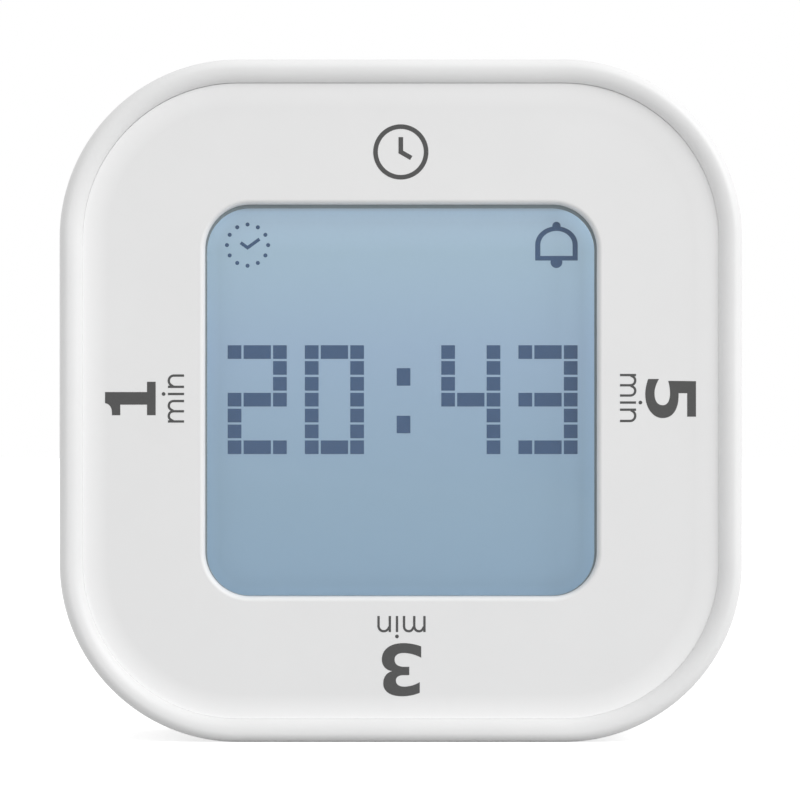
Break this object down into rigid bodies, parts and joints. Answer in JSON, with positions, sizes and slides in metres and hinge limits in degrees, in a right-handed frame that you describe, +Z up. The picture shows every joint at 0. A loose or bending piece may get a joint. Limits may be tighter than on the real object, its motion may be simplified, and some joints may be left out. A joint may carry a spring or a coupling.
{
  "type": "digital kitchen timer",
  "caption": "Rounded-square flip timer with a recessed square LCD; standing it on another side starts the minutes printed on the side that is uppermost",
  "frame": {"origin": "Middle of the foot of the body, on the surface that it stands on", "axes": "+Z up; the face looks along -Y; +X is to the right as seen from the front"},
  "size_m": [0.062, 0.028, 0.062],
  "materials": {
    "case": "satin",
    "panel": "matte",
    "window": "clear",
    "display_frame": "matte",
    "display_glass": "clear",
    "polariser": "matte",
    "reflector": "matte",
    "light_guide": "frosted",
    "lamp": "gloss",
    "elastomer": "matte",
    "board": "satin",
    "resin": "gloss",
    "chips": "matte",
    "nickel": "satin",
    "brass": "satin",
    "black_plastic": "matte",
    "button": "satin",
    "knob": "satin",
    "ceramic": "matte",
    "ribbon": "satin",
    "red_lead": "satin",
    "black_lead": "satin",
    "cell": "satin"
  },
  "bodies": {
    "timer_body": {"front_case": "case", "rear_case": "case", "face_panel": "panel", "display_window": "window", "display_frame": "display_frame", "display_glass": "display_glass", "front_polariser": "polariser", "rear_reflector": "reflector", "light_guide": "light_guide", "backlight_led": "lamp", "upper_contact_strip": "elastomer", "lower_contact_strip": "elastomer", "main_board": "board", "key_board": "board", "controller_cap": "resin", "chip_parts": "chips", "clock_crystal": "nickel", "board_screws": "nickel", "case_screws": "nickel", "key_board_screws": "nickel", "slide_switch": "nickel", "bridge_contact": "nickel", "positive_contact": "nickel", "negative_contact": "nickel", "bridge_spring": "nickel", "negative_spring": "nickel", "left_tilt_can": "brass", "right_tilt_can": "brass", "buzzer_disc": "brass", "left_tilt_base": "black_plastic", "right_tilt_base": "black_plastic", "push_switches": "black_plastic", "buzzer_ceramic": "ceramic", "ribbon_cable": "ribbon", "positive_lead": "red_lead", "buzzer_leads": "red_lead", "negative_lead": "black_lead", "upper_cell": "cell", "lower_cell": "cell"},
    "set_key": {"set_button": "button", "set_plunger": "black_plastic"},
    "plus_key": {"plus_button": "button", "plus_plunger": "black_plastic"},
    "minus_key": {"minus_button": "button", "minus_plunger": "black_plastic"},
    "volume_slider": {"volume_knob": "knob", "slide_lever": "black_plastic"},
    "door": {"battery_door": "case", "door_latch": "case"},
    "left_ball": {"left_tilt_ball": "nickel"},
    "right_ball": {"right_tilt_ball": "nickel"}
  },
  "joints": [
    {"name": "set_press", "type": "slide", "parent": "timer_body", "child": "set_key", "axis": [0, -1, 0], "range_m": [0, 0.0004], "stiffness_N_per_m": 1500, "springref_m": -0.0004},
    {"name": "plus_press", "type": "slide", "parent": "timer_body", "child": "plus_key", "axis": [0, -1, 0], "range_m": [0, 0.0004], "stiffness_N_per_m": 1500, "springref_m": -0.0004},
    {"name": "minus_press", "type": "slide", "parent": "timer_body", "child": "minus_key", "axis": [0, -1, 0], "range_m": [0, 0.0004], "stiffness_N_per_m": 1500, "springref_m": -0.0004},
    {"name": "volume_slide", "type": "slide", "parent": "timer_body", "child": "volume_slider", "axis": [1, 0, 0], "range_m": [-0.002, 0.002]},
    {"name": "door_hinge", "type": "hinge", "parent": "timer_body", "child": "door", "pos_m": [0, 0.014, 0.0364], "axis": [1, 0, 0], "range_deg": [0, 90], "deforming": ["door_latch"]},
    {"name": "left_ball_roll", "type": "slide", "parent": "timer_body", "child": "left_ball", "axis": [-0.7071, 0, 0.7071], "range_m": [0, 0.0033]},
    {"name": "right_ball_roll", "type": "slide", "parent": "timer_body", "child": "right_ball", "axis": [0.7071, 0, 0.7071], "range_m": [0, 0.0033]}
  ]
}
